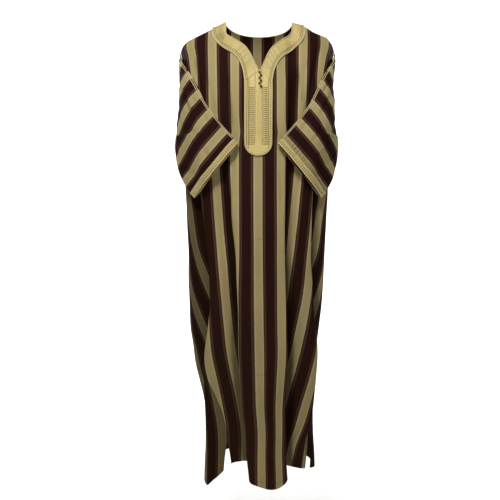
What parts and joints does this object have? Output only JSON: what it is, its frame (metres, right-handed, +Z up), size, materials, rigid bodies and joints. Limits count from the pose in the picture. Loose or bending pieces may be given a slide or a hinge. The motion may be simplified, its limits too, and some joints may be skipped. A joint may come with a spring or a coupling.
{
  "type": "djellaba",
  "caption": "Long striped robe with wide short sleeves, a braided neck band and bib with knot buttons, braided cuffs and side slits, filled out as worn and hollow.",
  "frame": {"origin": "middle of the neck opening, level with the top of the shoulders, where the garment hangs from the wearer", "axes": "+Z up, -Y towards the front with the bib, +X towards the viewer's right when the front is seen"},
  "size_m": [0.4814, 0.3008, 1.377],
  "materials": {
    "striped_cloth": "satin-faced cloth with vertical stripes in gold and aubergine",
    "gold_braid": "ribbed gold braid",
    "cream_cord": "smooth cream cord",
    "knot_buttons": "knotted gold cord"
  },
  "bodies": {
    "root": {"back_panel": "striped_cloth", "front_panel": "striped_cloth", "sleeve_left": "striped_cloth", "sleeve_right": "striped_cloth", "bib": "gold_braid", "cuff_left": "gold_braid", "cuff_right": "gold_braid", "neck_band_back": "gold_braid", "neck_band_left": "gold_braid", "neck_band_right": "gold_braid", "bib_cord_1": "cream_cord", "bib_cord_2": "cream_cord", "piping_left": "cream_cord", "piping_right": "cream_cord", "button_1": "knot_buttons", "button_2": "knot_buttons", "button_3": "knot_buttons", "button_4": "knot_buttons", "button_5": "knot_buttons", "button_6": "knot_buttons"}
  },
  "joints": []
}
